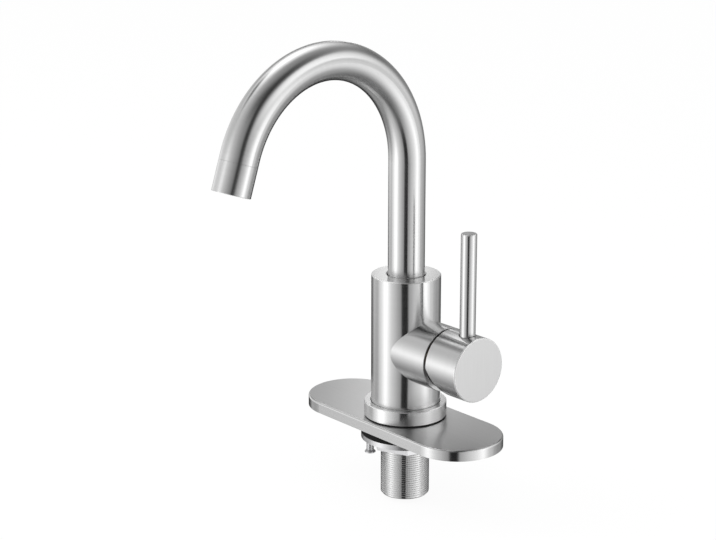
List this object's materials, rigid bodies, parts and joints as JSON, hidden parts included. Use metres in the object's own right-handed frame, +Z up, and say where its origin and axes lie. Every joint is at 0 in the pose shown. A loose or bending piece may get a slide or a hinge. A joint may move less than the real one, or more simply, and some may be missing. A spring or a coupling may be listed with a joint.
{
  "type": "single-handle bar faucet",
  "caption": "Single-handle kitchen faucet with a swivelling gooseneck spout, side lever on a ceramic disc cartridge, oblong deck plate and threaded mounting shank.",
  "frame": {"origin": "on the shank's axis, in the plane of the deck that the plate stands on", "axes": "+Z up along the shank and column, -Y towards the user along the spout, +X on the handle's side"},
  "size_m": [0.1618, 0.1876, 0.3087],
  "materials": {
    "brushed_steel": "fine brushed stainless steel",
    "shank_steel": "plain machined stainless steel",
    "zinc_steel": "bright zinc-plated steel",
    "brass": "machined brass",
    "plated_brass": "brass with a dark plating",
    "rubber": "matte black rubber",
    "black_plastic": "moulded black plastic",
    "pale_plastic": "moulded pale acetal",
    "ceramic": "lapped alumina"
  },
  "bodies": {
    "faucet_body": {"valve_body": "brushed_steel", "base_ring": "brushed_steel", "base_gasket": "rubber", "deck_plate": "brushed_steel", "plate_support": "black_plastic", "plate_seal": "rubber", "threaded_shank": "shank_steel", "cartridge_base": "pale_plastic", "cartridge_seals": "rubber", "fixed_disc": "ceramic", "cartridge_housing": "pale_plastic", "cartridge_nut": "plated_brass", "glide_ring": "pale_plastic", "spout_grub_screw": "zinc_steel"},
    "spout": {"gooseneck": "brushed_steel", "spout_stem": "brass", "swivel_seals": "rubber", "spout_outlet": "brushed_steel", "aerator_seal_ring": "rubber", "aerator_housing": "shank_steel", "aerator_insert": "pale_plastic", "aerator_screen": "shank_steel"},
    "rotor": {"stem_carrier": "pale_plastic", "stem_pin": "zinc_steel"},
    "handle": {"handle_hub": "brushed_steel", "lever_rod": "brushed_steel", "cartridge_stem": "brass", "handle_grub_screw": "zinc_steel"},
    "disc_slide": {"moving_disc": "ceramic", "disc_carrier": "pale_plastic"},
    "clamp_washers": {"rubber_washer": "rubber", "steel_washer": "zinc_steel"},
    "clamp_nut": {"mounting_nut": "zinc_steel", "jack_screws": "zinc_steel"}
  },
  "joints": [
    {"name": "spout_swivel", "type": "hinge", "parent": "faucet_body", "child": "spout", "pos_m": [0, 0, 0.091], "axis": [0, 0, 1], "continuous": true},
    {"name": "temperature_turn", "type": "hinge", "parent": "faucet_body", "child": "rotor", "pos_m": [0.036, 0, 0.0547], "axis": [1, 0, 0], "range_deg": [-50, 50]},
    {"name": "flow_tilt", "type": "hinge", "parent": "rotor", "child": "handle", "pos_m": [0.036, 0, 0.0547], "axis": [0, 1, 0], "range_deg": [0, 25]},
    {"name": "disc_shift", "type": "slide", "parent": "rotor", "child": "disc_slide", "axis": [0, 0, 1], "range_m": [0, 0.0043]},
    {"name": "clamp_travel", "type": "slide", "parent": "faucet_body", "child": "clamp_washers", "axis": [0, 0, 1], "range_m": [-0.0301, 0]},
    {"name": "nut_spin", "type": "hinge", "parent": "clamp_washers", "child": "clamp_nut", "pos_m": [0, 0, -0.01], "axis": [0, 0, 1], "range_deg": [-7200, 0]}
  ],
  "couplings": [
    {"joint": "disc_shift", "follows": "flow_tilt", "m_per_rad": 0.0096857},
    {"joint": "clamp_travel", "follows": "nut_spin", "m_per_rad": 0.00023873}
  ]
}
